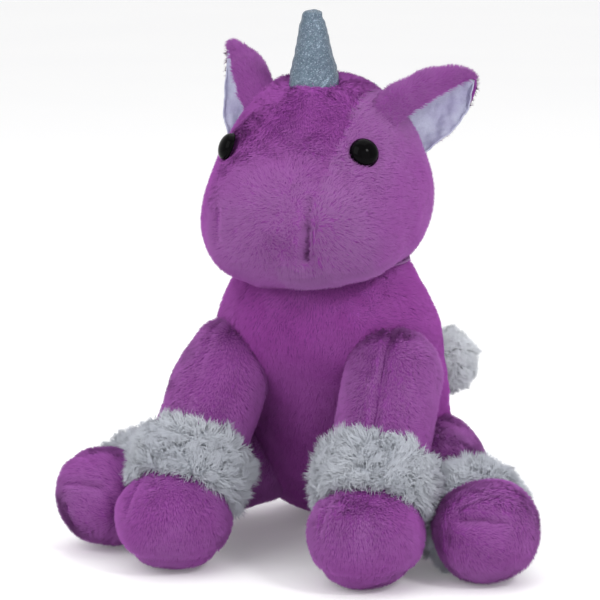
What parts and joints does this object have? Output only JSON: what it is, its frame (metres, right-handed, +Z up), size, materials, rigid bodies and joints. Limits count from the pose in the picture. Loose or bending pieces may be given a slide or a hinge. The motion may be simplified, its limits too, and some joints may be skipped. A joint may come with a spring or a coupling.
{
  "type": "plush unicorn toy",
  "caption": "Sitting plush unicorn: jointed soft head, ears, legs and tail, fluffy white cuffs, glossy safety eyes and a glittering fabric horn.",
  "frame": {"origin": "middle of the flat seat under the torso, on the floor", "axes": "-Y is the way the toy faces, +X its own left side, +Z up"},
  "size_m": [0.223, 0.205, 0.2359],
  "materials": {
    "body_plush": "short brushed plush pile",
    "face_plush": "short brushed plush pile, nap lying the other way",
    "white_fur": "long shaggy pile",
    "ear_lining": "satin",
    "glitter_fabric": "glitter coated",
    "eye_plastic": "polished",
    "washer_plastic": "moulded",
    "stuffing": "loose fibre",
    "thread": "twisted"
  },
  "bodies": {
    "torso": {"torso_belly_panel": "body_plush", "torso_back_left_panel": "body_plush", "torso_back_right_panel": "body_plush", "torso_stuffing": "stuffing"},
    "neck_seam": {"neck_seam_thread": "thread"},
    "head": {"head_gusset": "face_plush", "head_left_panel": "body_plush", "head_right_panel": "body_plush", "head_stuffing": "stuffing", "mane": "white_fur", "horn_cover": "glitter_fabric", "horn_stuffing": "stuffing", "left_eye": "eye_plastic", "right_eye": "eye_plastic", "left_eye_washer": "washer_plastic", "right_eye_washer": "washer_plastic"},
    "left_ear": {"left_ear_outer": "body_plush", "left_ear_lining": "ear_lining"},
    "right_ear": {"right_ear_outer": "body_plush", "right_ear_lining": "ear_lining"},
    "left_front_leg": {"left_front_leg_inner_panel": "body_plush", "left_front_leg_outer_panel": "body_plush", "left_front_cuff": "white_fur", "left_front_foot_cover": "body_plush", "left_front_sole": "body_plush", "left_front_leg_stuffing": "stuffing"},
    "right_front_leg": {"right_front_leg_inner_panel": "body_plush", "right_front_leg_outer_panel": "body_plush", "right_front_cuff": "white_fur", "right_front_foot_cover": "body_plush", "right_front_sole": "body_plush", "right_front_leg_stuffing": "stuffing"},
    "left_rear_leg": {"left_rear_leg_inner_panel": "body_plush", "left_rear_leg_outer_panel": "body_plush", "left_rear_cuff": "white_fur", "left_rear_foot_cover": "body_plush", "left_rear_sole": "body_plush", "left_rear_leg_stuffing": "stuffing"},
    "right_rear_leg": {"right_rear_leg_inner_panel": "body_plush", "right_rear_leg_outer_panel": "body_plush", "right_rear_cuff": "white_fur", "right_rear_foot_cover": "body_plush", "right_rear_sole": "body_plush", "right_rear_leg_stuffing": "stuffing"},
    "tail": {"tail_fur": "white_fur", "tail_core": "stuffing"}
  },
  "joints": [
    {"name": "head_turn", "type": "hinge", "parent": "torso", "child": "neck_seam", "pos_m": [0, -0.052, 0.106], "axis": [0, 0, 1], "range_deg": [-35, 35], "stiffness_Nm_per_rad": 0.35},
    {"name": "head_nod", "type": "hinge", "parent": "neck_seam", "child": "head", "pos_m": [0, -0.052, 0.106], "axis": [1, 0, 0], "range_deg": [-10, 14], "stiffness_Nm_per_rad": 0.6},
    {"name": "left_ear_flop", "type": "hinge", "parent": "head", "child": "left_ear", "pos_m": [0.035, -0.05, 0.189], "axis": [0.3686, 0.4423, -0.8176], "range_deg": [-15, 20], "stiffness_Nm_per_rad": 0.004},
    {"name": "right_ear_flop", "type": "hinge", "parent": "head", "child": "right_ear", "pos_m": [-0.035, -0.05, 0.189], "axis": [-0.3686, 0.4423, -0.8176], "range_deg": [-15, 20], "stiffness_Nm_per_rad": 0.004},
    {"name": "left_front_leg_lift", "type": "hinge", "parent": "torso", "child": "left_front_leg", "pos_m": [0.0385, -0.075, 0.08], "axis": [-0.866, 0, 0.5], "range_deg": [0, 30], "stiffness_Nm_per_rad": 0.12},
    {"name": "right_front_leg_lift", "type": "hinge", "parent": "torso", "child": "right_front_leg", "pos_m": [-0.0385, -0.075, 0.08], "axis": [-0.866, 0, -0.5], "range_deg": [0, 30], "stiffness_Nm_per_rad": 0.12},
    {"name": "left_rear_leg_splay", "type": "hinge", "parent": "torso", "child": "left_rear_leg", "pos_m": [0.042, -0.034, 0.032], "axis": [0, 0, 1], "range_deg": [0, 30], "stiffness_Nm_per_rad": 0.12},
    {"name": "right_rear_leg_splay", "type": "hinge", "parent": "torso", "child": "right_rear_leg", "pos_m": [-0.042, -0.034, 0.032], "axis": [0, 0, -1], "range_deg": [0, 30], "stiffness_Nm_per_rad": 0.12},
    {"name": "tail_wag", "type": "hinge", "parent": "torso", "child": "tail", "pos_m": [0.006, 0.02, 0.056], "axis": [0, 0, 1], "range_deg": [0, 45], "stiffness_Nm_per_rad": 0.01}
  ]
}
